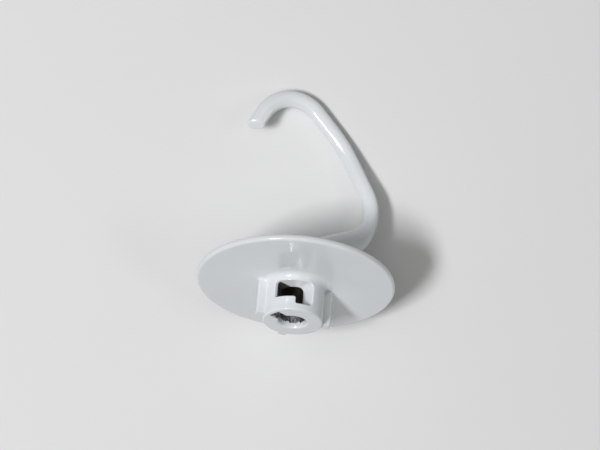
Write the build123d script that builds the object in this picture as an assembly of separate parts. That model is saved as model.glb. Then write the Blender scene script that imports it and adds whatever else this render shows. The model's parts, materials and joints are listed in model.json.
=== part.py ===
"""Stand mixer dough hook: one coated metal casting, in millimetres and degrees.

The casting is drawn upright in its own frame. Z runs along the drive shaft and points out of the
hub's mouth, Z = 0 is the face of the splash disc that carries the hub, and X points to the side
on which the hook's arm hangs. It is then laid down on the floor Z = 0, on its rim and its hook,
as it comes to rest.
"""
from build123d import *
from math import asin, atan2, cos, degrees, hypot, radians, sin
import os

# Drive shaft with its cross pin, and the play that the bayonet socket leaves them
SHAFT_DIAMETER = 12.7
SHAFT_PLAY = 0.3
PIN_DIAMETER = 6.0
PIN_PLAY = 0.3

# Hub
HUB_DIAMETER = 28.6
HUB_HEIGHT = 18.9
HUB_EDGE = 0.9
HUB_ROOT = 3.0
BORE_DEPTH = 30.0
MOUTH_EDGE = 1.2

# Bayonet: entry groove, window through the wall and the seat that the pin drops into
GROOVE_ANGLE = 154.0
GROOVE_REACH = 12.2
WINDOW_ANGLE = 69.0
WINDOW_SPAN = 78.0
WINDOW_FLOOR = 3.4
WINDOW_HEIGHT = 8.3
WINDOW_CORNER = 1.0
WINDOW_EDGE = 0.5
SEAT_SPAN = 34.5
SEAT_DEPTH = 3.6
SEAT_CORNER = 2.4

# Grip ribs on the hub; the window takes the fourth place
RIB_ANGLES = (0.0, 180.0, 270.0)
RIB_REACH = 18.4
RIB_THICKNESS = 3.7
RIB_SETBACK = 1.0
RIB_EDGE = 0.9
RIB_ROOT = 1.0

# Splash disc
DISC_DIAMETER = 95.0
DISC_THICKNESS = 3.2
DISC_EDGE = 1.4

# Neck: a ball under the disc that tapers into the shoulder
NECK_DIAMETER = 25.6
NECK_DROP = 9.0
NECK_ROOT = 3.0

# Corners of the hook's centreline: reach along X, side along Y and drop below the disc's face
ELBOW_REACH = 41.8
ELBOW_SIDE = 3.6
ELBOW_DROP = 40.1
KNEE_REACH = 17.8
KNEE_SIDE = 4.6
KNEE_DROP = 80.4
BEND_REACH = -15.5
BEND_SIDE = 11.4
BEND_DROP = 109.2
TIP_REACH = -29.0
TIP_SIDE = 5.0
TIP_DROP = 80.4

# Radii of the centreline in its three bends, and the bar's oval from shoulder to tip
ELBOW_RADIUS = 21.1
KNEE_RADIUS = 52.6
BEND_RADIUS = 17.2
SHOULDER_THICKNESS = 12.5
ELBOW_THICKNESS = 6.8
ARM_THICKNESS = 8.0
ARM_BREADTH = 8.4
TIP_THICKNESS = 8.4
TIP_EDGE = 1.2
SECTIONS = 24

# Sizes that follow
bore_radius = (SHAFT_DIAMETER + SHAFT_PLAY) / 2
groove_width = PIN_DIAMETER + PIN_PLAY
hub_radius = HUB_DIAMETER / 2
rib_height = HUB_HEIGHT - RIB_SETBACK
disc_radius = DISC_DIAMETER / 2
neck_radius = NECK_DIAMETER / 2
within = bore_radius - 0.5
beyond = RIB_REACH + HUB_HEIGHT

# The seat's corner gets no more than the window's corner leaves of the seat's narrow end
narrow_end = within * radians(SEAT_SPAN)
seat_corner = min(SEAT_CORNER, 0.95 * narrow_end - WINDOW_CORNER)


def window_sector(span, height):
    """Sector about Z that stands on the window's floor and cuts through the hub's wall."""
    section = Rectangle(beyond - within, height, align=(Align.MIN, Align.MIN))
    sector = revolve(Plane.XZ * Pos(within, WINDOW_FLOOR) * section, Axis.Z, span)
    return Rot(0, 0, WINDOW_ANGLE) * sector


def is_radial(edge):
    """True of a straight edge that runs level, away from the Z axis."""
    return edge.geom_type == GeomType.LINE and abs((edge % 0).Z) < 0.5


def turned_by(edge):
    """Angle about Z of an edge's middle."""
    return atan2(edge.center().Y, edge.center().X)


# Disc and hub turned in one profile
flange = Pos(disc_radius / 2, -DISC_THICKNESS / 2) * Rectangle(disc_radius, DISC_THICKNESS)
barrel = Pos(hub_radius / 2, HUB_HEIGHT / 2) * Rectangle(hub_radius, HUB_HEIGHT)
outline = flange + barrel
outline = fillet(outline.vertices().group_by(Axis.X)[-1], DISC_EDGE)
outline = fillet(outline.vertices().sort_by_distance((hub_radius, HUB_HEIGHT))[0], HUB_EDGE)
outline = fillet(outline.vertices().sort_by_distance((hub_radius, 0))[0], HUB_ROOT)
turned = revolve(Plane.XZ * outline, Axis.Z)

# Grip ribs, rounded at the tip and filleted into hub and disc
rib = Pos(RIB_REACH / 2, 0, rib_height / 2) * Box(RIB_REACH, RIB_THICKNESS, rib_height)
rib = fillet(rib.edges().group_by(Axis.X)[-1].sort_by(Axis.Z)[1:], RIB_EDGE)
ribs = [Rot(0, 0, angle) * rib for angle in RIB_ANGLES]
head = turned + ribs
rib_roots = new_edges(turned, *ribs, combined=head)
head = fillet([edge for edge in rib_roots if edge.bounding_box().min.Z < rib_height - RIB_EDGE], RIB_ROOT)

# Centreline of the hook, from the ball's centre to past the tip
neck = Vector(0, 0, -NECK_DROP)
elbow = Vector(ELBOW_REACH, ELBOW_SIDE, -ELBOW_DROP)
knee = Vector(KNEE_REACH, KNEE_SIDE, -KNEE_DROP)
bend = Vector(BEND_REACH, BEND_SIDE, -BEND_DROP)
tip = Vector(TIP_REACH, TIP_SIDE, -TIP_DROP)
past_tip = tip + (tip - bend).normalized() * TIP_THICKNESS
bends = (ELBOW_RADIUS, KNEE_RADIUS, BEND_RADIUS)
shoulder, *runs = FilletPolyline(neck, elbow, knee, bend, past_tip, radius=bends).edges()
centreline = Wire(runs)

# Neck: the cone leaves the ball tangentially and ends where the elbow starts
end_radius = SHOULDER_THICKNESS / 2
taper = asin(neck_radius / hypot(shoulder.length, end_radius)) - atan2(end_radius, shoulder.length)
leaves = (neck_radius * sin(taper), neck_radius * cos(taper))
horn_outline = make_face(
    [
        ThreePointArc((-neck_radius, 0), Vector(-1, 1).normalized() * neck_radius, leaves),
        Polyline(leaves, (shoulder.length, end_radius), (shoulder.length, 0), (-neck_radius, 0)),
    ]
)
horn_plane = Plane(neck, x_dir=shoulder % 0, z_dir=(shoulder % 0).cross(Vector(0, 0, 1)))
horn = horn_plane * revolve(horn_outline, Axis.X)

# Bar from the elbow to the tip: length along it, thickness and breadth at each station
elbow_arc, arm, knee_arc, foot, bend_arc, _ = (run.length for run in runs)
stations = (
    (0, SHOULDER_THICKNESS, SHOULDER_THICKNESS),
    (elbow_arc / 2, ELBOW_THICKNESS, ARM_BREADTH),
    (elbow_arc + arm + knee_arc / 2, ARM_THICKNESS, ARM_BREADTH),
    (elbow_arc + arm + knee_arc + foot + bend_arc / 2, TIP_THICKNESS, TIP_THICKNESS),
    (centreline.length, TIP_THICKNESS, TIP_THICKNESS),
)


def oval(share):
    """Plane, half breadth and half thickness of the bar at a share of its length."""
    length = share * centreline.length
    near, far = next(pair for pair in zip(stations, stations[1:]) if length <= pair[1][0] + 1e-6)
    part = (length - near[0]) / (far[0] - near[0])
    thickness = near[1] + (far[1] - near[1]) * part
    breadth = near[2] + (far[2] - near[2]) * part
    along = centreline % share
    plane = Plane(centreline @ share, x_dir=Vector(0, 1, 0) - along * along.Y, z_dir=along)
    return plane, breadth / 2, thickness / 2


# Sections lie closer together at the shoulder, where the bar thins fastest
ovals = [oval((i / SECTIONS) ** 2) for i in range(SECTIONS + 1)]
bar = sweep([plane * Ellipse(a, b) for plane, a, b in ovals], path=centreline, multisection=True)
bar -= Pos(tip.X, tip.Y, tip.Z + beyond / 2) * Box(beyond, beyond, beyond)
bar = fillet(bar.faces().filter_by(Plane.XY).edges(), TIP_EDGE)

# Head, neck and bar in one casting
casting = head + horn
underside = casting.faces().filter_by(Plane.XY).sort_by(Axis.Z)[0]
casting = fillet(underside.inner_wires()[0].edges(), NECK_ROOT)
casting += bar

# Window with its seat, rounded where it breaks through the hub's wall
window = window_sector(WINDOW_SPAN, WINDOW_HEIGHT) + window_sector(SEAT_SPAN, WINDOW_HEIGHT + SEAT_DEPTH)
window = fillet(window.edges().filter_by(is_radial).sort_by(turned_by)[2:], WINDOW_CORNER)
window = fillet(window.edges().filter_by(is_radial).sort_by(turned_by)[:2], seat_corner)
opened = casting - window
casting = fillet(new_edges(casting, window, combined=opened), WINDOW_EDGE)

# Bore with its rounded mouth, and the entry groove from the mouth to the window's floor
casting -= Pos(0, 0, HUB_HEIGHT - BORE_DEPTH / 2) * Cylinder(bore_radius, BORE_DEPTH)
end_face = casting.faces().filter_by(Plane.XY).sort_by(Axis.Z)[-1]
casting = fillet(end_face.inner_wires()[0].edges(), MOUTH_EDGE)
groove = Pos(GROOVE_REACH / 2, 0, WINDOW_FLOOR + beyond / 2) * Box(GROOVE_REACH, groove_width, beyond)
casting -= Rot(0, 0, GROOVE_ANGLE) * groove

# Rest on the floor: the roll about the hub's axis at which the centre of mass lies lowest, and the
# lean of that axis at which rim and hook both touch
weight = casting.center(CenterOf.MASS)
touching = [oval(i / (2 * SECTIONS)) for i in range(2 * SECTIONS + 1)]


def up_at(roll, lean):
    """Upward direction in the casting's frame."""
    return Vector(cos(lean) * sin(roll), cos(lean) * cos(roll), sin(lean))


def rim_height(lean):
    """Height of the rim's lowest point over the frame's origin."""
    inset = DISC_THICKNESS - DISC_EDGE
    return -(disc_radius - DISC_EDGE) * cos(lean) - inset * sin(lean) - DISC_EDGE


def hook_height(up):
    """Height of the hook's lowest point over the frame's origin."""
    return min(
        up.dot(plane.origin) - hypot(up.dot(plane.x_dir) * a, up.dot(plane.y_dir) * b)
        for plane, a, b in touching
    )


def lean_at(roll):
    """Lean of the hub's axis at which rim and hook are level."""
    low = 0.0
    high = radians(60)
    for _ in range(20):
        lean = (low + high) / 2
        if hook_height(up_at(roll, lean)) > rim_height(lean):
            low = lean
        else:
            high = lean
    return lean


def weight_height(roll):
    """Height of the centre of mass over the floor."""
    lean = lean_at(roll)
    return up_at(roll, lean).dot(weight) - rim_height(lean)


least = radians(-45)
most = radians(45)
for _ in range(16):
    third = (most - least) / 3
    if weight_height(least + third) < weight_height(most - third):
        most -= third
    else:
        least += third
roll = (least + most) / 2
lean = lean_at(roll)
laid = Rot(90 - degrees(lean), 0, 0) * Rot(0, 0, degrees(roll)) * casting
box = laid.bounding_box()
dough_hook = Pos(-box.center().X, -box.center().Y, -box.min.Z) * laid

os.makedirs("parts", exist_ok=True)
export_step(dough_hook, "parts/dough_hook.step")
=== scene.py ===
"""Dresses a stand mixer's dough hook for a studio picture.

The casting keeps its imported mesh. It gets a glossy white coat that ends in a ragged line inside the
hub's bore, with bare cast metal below it. On the hook's bar the coat is shaded like a flatter oval.
The part lies on a plain pale floor under soft light, seen from straight above. Lengths are in
metres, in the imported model's own frame.
"""

import json
from math import cos, radians, sin

import bpy
from mathutils import Matrix, Vector

bl_info = {
    "name": "Dough Hook Dresser",
    "version": (1, 0, 0),
    "blender": (4, 5, 0),
    "location": "View3D > Sidebar > Dough Hook",
    "description": "Coats a packed dough hook casting and sets its studio stage",
    "category": "Material",
}

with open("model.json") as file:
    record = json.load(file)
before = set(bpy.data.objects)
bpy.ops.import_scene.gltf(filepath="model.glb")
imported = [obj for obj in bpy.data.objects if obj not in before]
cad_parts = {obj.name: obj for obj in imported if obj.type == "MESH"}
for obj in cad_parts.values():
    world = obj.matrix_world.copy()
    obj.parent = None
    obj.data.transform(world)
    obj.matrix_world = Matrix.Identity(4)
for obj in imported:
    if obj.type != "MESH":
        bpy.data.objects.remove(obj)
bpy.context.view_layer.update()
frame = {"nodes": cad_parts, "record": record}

HOOK_NODE = "dough_hook"
SOCKET_MOUNT = "shaft_socket"
MM = 0.001

# Direction of the entry groove from the socket's axis, and corners of the hook's centreline
GROOVE_TOWARDS = Vector((-0.7446, 0.3177, 0.5871)).normalized()
ELBOW = Vector((0.0412, -0.0046, 0.0167))
KNEE = Vector((0.0184, 0.0345, 0.0042))
BEND = Vector((-0.0118, 0.0672, 0.0042))

# A wall counts as bare up to the slack past its size, and no more past the limit
WALL_SLACK = 0.1 * MM
WALL_LIMIT = 0.3 * MM
COAT_EDGE = 0.1 * MM

# Soft noise lies round its mean and strays about a quarter to either side
NOISE_MEAN = 0.5
NOISE_STRAY = 0.25
CLOUD_TONE_RANGE = (0.35, 0.65)
CLOUD_GLOSS_RANGE = (0.3, 0.7)
SPECK_RANGE = (0.42, 0.66)

# Directions from the floor's middle to the lamps, as the picture lies
LAMP_DISTANCE = 2.0
LAMPS = {
    "key": (-0.40, -0.09, 0.91),
    "fill": (0.62, -0.10, 0.78),
    "top": (-0.2, 0.0, 0.98),
}

socket = next(mount for mount in frame["record"]["mounts"] if mount["name"] == SOCKET_MOUNT)
socket_axis = Vector(socket["axis"]).normalized()
socket_radius = socket["dims"]["r_mm"] * MM


class CoatSettings(bpy.types.PropertyGroup):
    """White coat on the outside of the casting."""

    colour: bpy.props.FloatVectorProperty(
        name="Coat Colour", description="Colour of the coat", subtype="COLOR", size=3,
        min=0.0, max=1.0, default=(0.752, 0.775, 0.797))
    cloud: bpy.props.FloatVectorProperty(
        name="Cloud Colour", description="Tone of the coat where it lies a little thinner",
        subtype="COLOR", size=3, min=0.0, max=1.0, default=(0.732, 0.755, 0.777))
    cloud_size: bpy.props.FloatProperty(
        name="Cloud Size", description="Width of the patches in the coat's tone",
        unit="LENGTH", min=0.001, default=0.022)
    roughness_low: bpy.props.FloatProperty(
        name="Smoothest", description="Roughness where the coat has flowed out best",
        subtype="FACTOR", min=0.0, max=1.0, default=0.1)
    roughness_high: bpy.props.FloatProperty(
        name="Roughest", description="Roughness where the coat is dullest",
        subtype="FACTOR", min=0.0, max=1.0, default=0.16)
    peel_size: bpy.props.FloatProperty(
        name="Peel Size", description="Width of the coat's shallow waves",
        unit="LENGTH", min=0.0001, default=0.0026)
    peel_depth: bpy.props.FloatProperty(
        name="Peel Depth", description="Height of the coat's shallow waves",
        unit="LENGTH", min=0.0, default=0.000006)
    thickness: bpy.props.FloatProperty(
        name="Coat Thickness", description="Step where the coat ends on the bare metal",
        unit="LENGTH", min=0.0, default=0.00015)
    flat_spread: bpy.props.FloatProperty(
        name="Flat Spread", description="How much broader than high the bar's section looks",
        min=1.0, default=2.3)
    flat_lean: bpy.props.FloatProperty(
        name="Flat Lean", description="Lean of the bar's flat top to the hook's inside",
        subtype="ANGLE", default=radians(7.0))
    flat_from: bpy.props.FloatProperty(
        name="Flat From", description="Distance from the mouth at which the bar begins to look flatter",
        unit="LENGTH", default=0.052)
    flat_full: bpy.props.FloatProperty(
        name="Flat At", description="Distance from the mouth at which the bar looks flattest",
        unit="LENGTH", default=0.072)
    knee_start: bpy.props.FloatProperty(
        name="Knee Start", description="Distance from the mouth at which the bar begins to turn level",
        unit="LENGTH", default=0.082)
    knee_end: bpy.props.FloatProperty(
        name="Knee End", description="Distance from the mouth at which the bar lies level",
        unit="LENGTH", default=0.1052)


class BoreSettings(bpy.types.PropertyGroup):
    """Bare cast metal inside the hub."""

    bore_depth: bpy.props.FloatProperty(
        name="Bore Depth", description="How far the bore goes down from the mouth", unit="LENGTH",
        min=0.0, default=0.030)
    groove_depth: bpy.props.FloatProperty(
        name="Groove Depth", description="How far the groove goes down from the mouth", unit="LENGTH",
        min=0.0, default=0.0155)
    groove_width: bpy.props.FloatProperty(
        name="Groove Width", description="Width of the pin's entry groove", unit="LENGTH", min=0.0,
        default=0.0063)
    groove_reach: bpy.props.FloatProperty(
        name="Groove Reach", description="How far the groove goes out from the socket's axis",
        unit="LENGTH", min=0.0, default=0.0122)
    coat_reach: bpy.props.FloatProperty(
        name="Coat Reach", description="How far the coat runs into the bore from the mouth",
        unit="LENGTH", min=0.0, default=0.003)
    groove_coat: bpy.props.FloatProperty(
        name="Groove Coat", description="How far the coat runs into the entry groove from the mouth",
        unit="LENGTH", min=0.0, default=0.0009)
    ragged: bpy.props.FloatProperty(
        name="Ragged Edge", description="How far the coat's end wanders to either side",
        unit="LENGTH", min=0.0, default=0.001)
    ragged_size: bpy.props.FloatProperty(
        name="Ragged Size", description="Length of the steps in the coat's end",
        unit="LENGTH", min=0.0001, default=0.0024)
    metal: bpy.props.FloatVectorProperty(
        name="Metal Colour", description="Colour of the bare metal", subtype="COLOR", size=3,
        min=0.0, max=1.0, default=(0.52, 0.52, 0.52))
    metal_roughness: bpy.props.FloatProperty(
        name="Metal Roughness", description="Roughness of the bare metal", subtype="FACTOR",
        min=0.0, max=1.0, default=0.45)
    speck: bpy.props.FloatVectorProperty(
        name="Speck Colour", description="Colour of pits and specks on the bare metal",
        subtype="COLOR", size=3, min=0.0, max=1.0, default=(0.06, 0.06, 0.06))
    speck_size: bpy.props.FloatProperty(
        name="Speck Size", description="Width of the specks", unit="LENGTH", min=0.0001, default=0.0009)
    streak: bpy.props.FloatProperty(
        name="Streaks", description="How many times longer than wide the specks are", min=1.0, default=3.0)
    # These three paint shade: they darken the bare metal deep in the bore, where the hole lies in shade
    painted_shade: bpy.props.FloatVectorProperty(
        name="Painted Shade Colour", description="Colour of the grime deep in the bore", subtype="COLOR", size=3,
        min=0.0, max=1.0, default=(0.22, 0.21, 0.19))
    painted_shade_from: bpy.props.FloatProperty(
        name="Painted Shade From", description="Depth at which the metal begins to darken", unit="LENGTH",
        min=0.0, default=0.007)
    painted_shade_full: bpy.props.FloatProperty(
        name="Painted Shade At", description="Depth at which grime covers the metal", unit="LENGTH",
        min=0.0, default=0.011)


class StageSettings(bpy.types.PropertyGroup):
    """Camera, floor and light."""

    camera_height: bpy.props.FloatProperty(
        name="Camera Height", description="Height of the camera over the floor",
        unit="LENGTH", min=0.1, default=0.8)
    camera_right: bpy.props.FloatProperty(
        name="Camera Right", description="Camera's place along the row's X axis",
        unit="LENGTH", default=-0.00022)
    camera_up: bpy.props.FloatProperty(
        name="Camera Up", description="Camera's place along the row's Y axis",
        unit="LENGTH", default=-0.00652)
    camera_roll: bpy.props.FloatProperty(
        name="Camera Roll", description="Turn of the picture about the plumb line",
        subtype="ANGLE", default=radians(4.7))
    floor_view: bpy.props.FloatProperty(
        name="Floor in View", description="Width of the floor that the picture shows",
        unit="LENGTH", min=0.01, default=0.30298)
    floor_size: bpy.props.FloatProperty(
        name="Floor Size", description="Side of the square floor", unit="LENGTH", min=0.5, default=6.0)
    floor_colour: bpy.props.FloatVectorProperty(
        name="Floor Colour", description="Colour of the floor", subtype="COLOR", size=3,
        min=0.0, max=1.0, default=(0.78, 0.78, 0.78))
    floor_shade: bpy.props.FloatVectorProperty(
        name="Floor Shade", description="Tone of the faint mottling on the floor", subtype="COLOR", size=3,
        min=0.0, max=1.0, default=(0.765, 0.765, 0.765))
    mottle_size: bpy.props.FloatProperty(
        name="Mottle Size", description="Width of the patches on the floor", unit="LENGTH",
        min=0.001, default=0.08)
    floor_roughness: bpy.props.FloatProperty(
        name="Floor Roughness", description="Roughness of the floor", subtype="FACTOR",
        min=0.0, max=1.0, default=0.9)
    floor_gloss: bpy.props.FloatProperty(
        name="Floor Gloss", description="Strength of the floor's faint shine", subtype="FACTOR",
        min=0.0, max=1.0, default=0.2)
    sky: bpy.props.FloatVectorProperty(
        name="Room Light", description="Colour of the even light of the room", subtype="COLOR", size=3,
        min=0.0, max=1.0, default=(0.97, 0.98, 1.0))
    sky_strength: bpy.props.FloatProperty(
        name="Room Strength", description="Strength of the even light of the room", min=0.0, default=0.12)
    key_power: bpy.props.FloatProperty(
        name="Key Power", description="Power of the main soft lamp", unit="POWER", min=0.0, default=25.2)
    key_width: bpy.props.FloatProperty(
        name="Key Width", description="Width of the main soft lamp", unit="LENGTH", min=0.01, default=0.24)
    key_length: bpy.props.FloatProperty(
        name="Key Length", description="Length of the main soft lamp", unit="LENGTH", min=0.01, default=0.5)
    key_colour: bpy.props.FloatVectorProperty(
        name="Key Colour", description="Colour of the main soft lamp", subtype="COLOR", size=3,
        min=0.0, max=1.0, default=(0.985, 0.98, 1.0))
    fill_power: bpy.props.FloatProperty(
        name="Fill Power", description="Power of the second lamp", unit="POWER", min=0.0, default=2.2)
    fill_width: bpy.props.FloatProperty(
        name="Fill Width", description="Width of the second lamp", unit="LENGTH", min=0.01, default=0.3)
    fill_length: bpy.props.FloatProperty(
        name="Fill Length", description="Length of the second lamp", unit="LENGTH", min=0.01, default=0.5)
    fill_colour: bpy.props.FloatVectorProperty(
        name="Fill Colour", description="Colour of the second lamp", subtype="COLOR", size=3,
        min=0.0, max=1.0, default=(0.95, 1.0, 0.85))
    top_power: bpy.props.FloatProperty(
        name="Top Power", description="Power of the wide lamp overhead", unit="POWER", min=0.0, default=8.8)
    top_width: bpy.props.FloatProperty(
        name="Top Width", description="Width of the wide lamp overhead", unit="LENGTH", min=0.01,
        default=1.6)
    top_length: bpy.props.FloatProperty(
        name="Top Length", description="Length of the wide lamp overhead", unit="LENGTH", min=0.01,
        default=1.6)
    top_colour: bpy.props.FloatVectorProperty(
        name="Top Colour", description="Colour of the wide lamp overhead", subtype="COLOR", size=3,
        min=0.0, max=1.0, default=(0.985, 1.0, 0.95))


class Tree:
    """Short calls to place and join the nodes of one shader tree."""

    def __init__(self, tree):
        self.tree = tree
        tree.nodes.clear()

    def node(self, kind, **settings):
        """Places a node and sets its own options."""
        made = self.tree.nodes.new(kind)
        for name, value in settings.items():
            setattr(made, name, value)
        return made

    def join(self, plug, source):
        """Joins an output to an input, or sets the input to a plain value."""
        if isinstance(source, bpy.types.NodeSocket):
            self.tree.links.new(source, plug)
        else:
            plug.default_value = source

    def feed(self, target, **sources):
        """Joins or sets inputs of a node by name, with an underscore for a blank."""
        for name, source in sources.items():
            self.join(target.inputs[name.replace("_", " ")], source)

    def math(self, operation, first, second=0.0):
        """Result of one sum on one or two values."""
        made = self.node("ShaderNodeMath", operation=operation)
        self.join(made.inputs[0], first)
        self.join(made.inputs[1], second)
        return made.outputs["Value"]

    def vector(self, operation, first, second=(0, 0, 0), output="Vector"):
        """Result of one sum on one or two vectors."""
        made = self.node("ShaderNodeVectorMath", operation=operation)
        self.join(made.inputs[0], first)
        self.join(made.inputs[1], second)
        return made.outputs[output]

    def scaled(self, vector, factor):
        """Vector made longer or shorter by a factor."""
        made = self.node("ShaderNodeVectorMath", operation="SCALE")
        self.feed(made, Vector=vector, Scale=factor)
        return made.outputs["Vector"]

    def noise(self, place, size, detail, roughness=0.5):
        """Soft noise with features about as wide as size."""
        made = self.node("ShaderNodeTexNoise")
        self.feed(made, Vector=place, Scale=1 / size, Detail=detail, Roughness=roughness)
        return made.outputs["Fac"]

    def ramp(self, value, low, high, to_low=0.0, to_high=1.0):
        """Value eased from the range low to high into the range to_low to to_high."""
        made = self.node("ShaderNodeMapRange", interpolation_type="SMOOTHSTEP")
        self.feed(made, Value=value, From_Min=low, From_Max=high, To_Min=to_low, To_Max=to_high)
        return made.outputs["Result"]

    def mix(self, kind, share, first, second):
        """Colour (RGBA), vector (VECTOR) or value (FLOAT) between first and second."""
        made = self.node("ShaderNodeMix", data_type=kind)
        self.feed(made, Factor=share)
        for name, source in (("A", first), ("B", second)):
            self.join(next(plug for plug in made.inputs if plug.name == name and plug.enabled), source)
        return next(plug for plug in made.outputs if plug.enabled)


def opaque(colour):
    """Colour with full cover, as colour inputs take it."""
    return (*colour, 1.0)


def mouth_centre():
    """Centre of the hub's mouth: the casting reaches no further along the socket's axis."""
    inside = Vector(socket["pos_m"])
    reach = max((v.co - inside).dot(socket_axis) for v in frame["nodes"][HOOK_NODE].data.vertices)
    return inside + socket_axis * reach


def socket_place(tree, place):
    """Offset from the mouth's centre, split into the part across the socket and the length along it."""
    offset = tree.vector("SUBTRACT", place, mouth_centre())
    along = tree.vector("DOT_PRODUCT", offset, socket_axis, "Value")
    lengthwise = tree.vector("PROJECT", offset, socket_axis)
    return tree.vector("SUBTRACT", offset, lengthwise), along


def below(tree, value, limit):
    """1 where a length is under the limit, easing to 0 just past it."""
    return tree.ramp(value, limit + WALL_SLACK, limit + WALL_LIMIT, 1.0, 0.0)


def past(tree, value, limit):
    """0 where a length is under the limit, easing to 1 across it."""
    return tree.ramp(value, limit - COAT_EDGE, limit + COAT_EDGE)


def bare_metal_mask(tree, place, across, along, bore):
    """1 on the walls of bore and entry groove below the coat's ragged end, 0 on the coat."""
    depth = tree.math("MULTIPLY", along, -1.0)
    stray = tree.math("SUBTRACT", tree.noise(place, bore.ragged_size, 4.0, 0.65), NOISE_MEAN)
    wander = tree.math("MULTIPLY", stray, bore.ragged / NOISE_STRAY)
    coat_end = tree.math("ADD", depth, wander)

    in_round = below(tree, tree.vector("LENGTH", across, output="Value"), socket_radius)
    in_bore = tree.math("MULTIPLY", in_round, below(tree, depth, bore.bore_depth))
    outward = tree.vector("DOT_PRODUCT", across, GROOVE_TOWARDS, "Value")
    sideways = tree.vector("DOT_PRODUCT", across, GROOVE_TOWARDS.cross(socket_axis), "Value")
    in_width = below(tree, tree.math("ABSOLUTE", sideways), bore.groove_width / 2)
    in_reach = tree.math("MULTIPLY", below(tree, outward, bore.groove_reach),
                         tree.math("GREATER_THAN", outward, 0.0))
    in_slot = tree.math("MULTIPLY", in_width, in_reach)
    in_groove = tree.math("MULTIPLY", in_slot, below(tree, depth, bore.groove_depth))
    return tree.math("MAXIMUM", tree.math("MULTIPLY", in_bore, past(tree, coat_end, bore.coat_reach)),
                     tree.math("MULTIPLY", in_groove, past(tree, coat_end, bore.groove_coat)))


def top_of(start, end, lean):
    """Direction up from the bar between two corners, square to it and leant to the hook's inside."""
    along = (end - start).normalized()
    inside = Vector((0, 0, 1)).cross(along).normalized()
    return along.cross(inside) * cos(lean) + inside * sin(lean)


def flattened_normal(tree, along, coat):
    """Normal of the casting, drawn to the top on the hook's bar as on a flatter oval."""
    normal = tree.node("ShaderNodeNewGeometry").outputs["Normal"]
    past_knee = tree.ramp(along, -coat.knee_start, -coat.knee_end)
    arm_top = top_of(ELBOW, KNEE, coat.flat_lean)
    foot_top = top_of(KNEE, BEND, coat.flat_lean)
    upward = tree.vector("PROJECT", normal, tree.mix("VECTOR", past_knee, arm_top, foot_top))
    sideways = tree.vector("SUBTRACT", normal, upward)
    flat = tree.vector("ADD", sideways, tree.scaled(upward, coat.flat_spread))
    on_bar = tree.ramp(along, -coat.flat_from, -coat.flat_full)
    return tree.vector("NORMALIZE", tree.mix("VECTOR", on_bar, normal, tree.vector("NORMALIZE", flat)))


def metal_colour(tree, across, along, bore):
    """Colour of the bare metal: specks drawn out along the bore, and painted shade darkening it deep
    inside.
    """
    drawn_out = tree.scaled(socket_axis, tree.math("DIVIDE", along, bore.streak))
    streaks = tree.noise(tree.vector("ADD", across, drawn_out), bore.speck_size, 3.0, 0.7)
    specked = tree.mix("RGBA", tree.ramp(streaks, *SPECK_RANGE), opaque(bore.metal), opaque(bore.speck))
    # Painted shade: the metal gets darker with depth, standing in for the shade deep in the hole
    deep = tree.ramp(along, -bore.painted_shade_from, -bore.painted_shade_full)
    return tree.mix("RGBA", deep, specked, opaque(bore.painted_shade))


def coated_metal(coat, bore):
    """Material of the casting: white coat outside, bare metal inside the bore."""
    material = bpy.data.materials.new("white_coat_on_cast_metal")
    material.use_nodes = True
    tree = Tree(material.node_tree)
    place = tree.node("ShaderNodeTexCoord").outputs["Object"]
    across, along = socket_place(tree, place)
    bare = bare_metal_mask(tree, place, across, along, bore)

    clouds = tree.noise(place, coat.cloud_size, 3.0)
    cloud_share = tree.ramp(clouds, *CLOUD_TONE_RANGE)
    coat_colour = tree.mix("RGBA", cloud_share, opaque(coat.colour), opaque(coat.cloud))
    coat_roughness = tree.ramp(clouds, *CLOUD_GLOSS_RANGE, coat.roughness_low, coat.roughness_high)

    waves = tree.math("MULTIPLY", tree.noise(place, coat.peel_size, 1.0), coat.peel_depth)
    step = tree.math("MULTIPLY", tree.math("SUBTRACT", 1.0, bare), coat.thickness)
    bump = tree.node("ShaderNodeBump")
    tree.feed(bump, Distance=1.0, Height=tree.math("ADD", step, waves),
              Normal=flattened_normal(tree, along, coat))

    bare_colour = metal_colour(tree, across, along, bore)
    surface = tree.node("ShaderNodeBsdfPrincipled")
    tree.feed(surface, Base_Color=tree.mix("RGBA", bare, coat_colour, bare_colour), Metallic=bare,
              Roughness=tree.mix("FLOAT", bare, coat_roughness, bore.metal_roughness),
              Normal=bump.outputs["Normal"])
    tree.feed(tree.node("ShaderNodeOutputMaterial"), Surface=surface.outputs["BSDF"])
    return material


def pale_floor(stage):
    """Material of the floor: matt and pale, with a faint mottling."""
    material = bpy.data.materials.new("pale_floor")
    material.use_nodes = True
    tree = Tree(material.node_tree)
    mottle = tree.noise(tree.node("ShaderNodeTexCoord").outputs["Object"], stage.mottle_size, 3.0)
    tone = tree.mix("RGBA", mottle, opaque(stage.floor_colour), opaque(stage.floor_shade))
    surface = tree.node("ShaderNodeBsdfPrincipled")
    tree.feed(surface, Base_Color=tone, Roughness=stage.floor_roughness,
              Specular_IOR_Level=stage.floor_gloss)
    tree.feed(tree.node("ShaderNodeOutputMaterial"), Surface=surface.outputs["BSDF"])
    return material


def soft_lamp(stage, name):
    """Oblong lamp that looks at the middle of the floor from its side of the picture."""
    data = bpy.data.lights.new(name + "_lamp", "AREA")
    data.shape = "RECTANGLE"
    data.energy = getattr(stage, name + "_power")
    data.size = getattr(stage, name + "_length")
    data.size_y = getattr(stage, name + "_width")
    data.color = getattr(stage, name + "_colour")
    lamp = bpy.data.objects.new(name + "_lamp", data)
    direction = Matrix.Rotation(stage.camera_roll, 3, "Z") @ Vector(LAMPS[name]).normalized()
    lamp.location = direction * LAMP_DISTANCE
    lamp.rotation_euler = direction.to_track_quat("Z", "Y").to_euler()
    bpy.context.scene.collection.objects.link(lamp)


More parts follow.
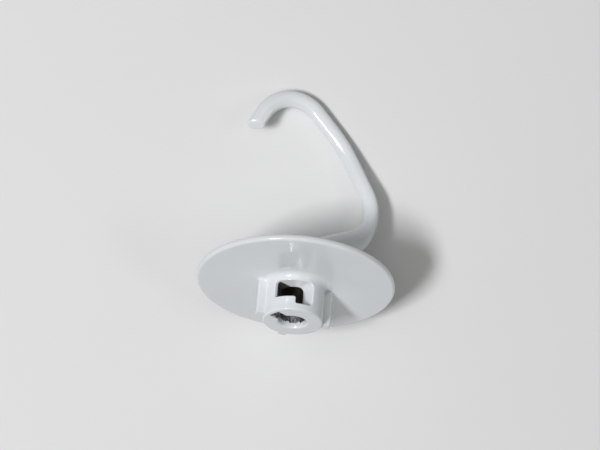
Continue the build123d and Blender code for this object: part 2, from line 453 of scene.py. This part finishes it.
class DOUGHHOOK_OT_coat(bpy.types.Operator):
    """Coat the casting and bare the metal inside its bore"""

    bl_idname = "dough_hook.coat"
    bl_label = "Coat the Hook"
    bl_options = {"REGISTER", "UNDO"}

    def execute(self, context):
        scene = context.scene
        casting = frame["nodes"].get(HOOK_NODE)
        if casting is None:
            raise RuntimeError("the frame has no dough hook")
        casting.data.materials.clear()
        casting.data.materials.append(coated_metal(scene.dough_hook_coat, scene.dough_hook_bore))
        return {"FINISHED"}


class DOUGHHOOK_OT_stage(bpy.types.Operator):
    """Lay the floor, hang the lamps and set the camera"""

    bl_idname = "dough_hook.stage"
    bl_label = "Set the Stage"
    bl_options = {"REGISTER", "UNDO"}

    def execute(self, context):
        scene = context.scene
        stage = scene.dough_hook_stage
        half = stage.floor_size / 2
        corners = [(-half, -half, 0), (half, -half, 0), (half, half, 0), (-half, half, 0)]
        mesh = bpy.data.meshes.new("floor")
        mesh.from_pydata(corners, [], [(0, 1, 2, 3)])
        floor = bpy.data.objects.new("floor", mesh)
        mesh.materials.append(pale_floor(stage))
        scene.collection.objects.link(floor)

        world = bpy.data.worlds.new("room")
        world.use_nodes = True
        room = Tree(world.node_tree)
        light = room.node("ShaderNodeBackground")
        room.feed(light, Color=opaque(stage.sky), Strength=stage.sky_strength)
        room.feed(room.node("ShaderNodeOutputWorld"), Surface=light.outputs["Background"])
        scene.world = world

        for name in LAMPS:
            soft_lamp(stage, name)

        data = bpy.data.cameras.new("camera")
        data.lens = data.sensor_width * stage.camera_height / stage.floor_view
        camera = bpy.data.objects.new("camera", data)
        camera.location = (stage.camera_right, stage.camera_up, stage.camera_height)
        camera.rotation_euler = (0, 0, stage.camera_roll)
        scene.collection.objects.link(camera)
        scene.camera = camera
        scene.view_settings.view_transform = "Standard"
        return {"FINISHED"}


class DOUGHHOOK_PT_panel(bpy.types.Panel):
    """Dough hook's settings and steps"""

    bl_idname = "DOUGHHOOK_PT_panel"
    bl_label = "Dough Hook"
    bl_space_type = "VIEW_3D"
    bl_region_type = "UI"
    bl_category = "Dough Hook"

    def draw(self, context):
        for groups, operator in STEPS:
            box = self.layout.box()
            for group in groups:
                settings = getattr(context.scene, group)
                for prop in settings.bl_rna.properties:
                    if prop.identifier not in {"rna_type", "name"}:
                        box.prop(settings, prop.identifier)
            box.operator(operator.bl_idname)


SETTINGS = {
    "dough_hook_coat": CoatSettings,
    "dough_hook_bore": BoreSettings,
    "dough_hook_stage": StageSettings,
}
STEPS = (
    (("dough_hook_coat", "dough_hook_bore"), DOUGHHOOK_OT_coat),
    (("dough_hook_stage",), DOUGHHOOK_OT_stage),
)
CLASSES = (*SETTINGS.values(), DOUGHHOOK_OT_coat, DOUGHHOOK_OT_stage, DOUGHHOOK_PT_panel)


def register():
    """Registers the classes and gives the scene their settings."""
    for cls in CLASSES:
        bpy.utils.register_class(cls)
    for name, group in SETTINGS.items():
        setattr(bpy.types.Scene, name, bpy.props.PointerProperty(type=group))


def unregister():
    """Takes the settings and the classes away again."""
    for name in SETTINGS:
        delattr(bpy.types.Scene, name)
    for cls in reversed(CLASSES):
        bpy.utils.unregister_class(cls)


def main():
    """Registers the add-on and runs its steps."""
    register()
    bpy.ops.dough_hook.coat()
    bpy.ops.dough_hook.stage()


if __name__ == "__main__":
    main()
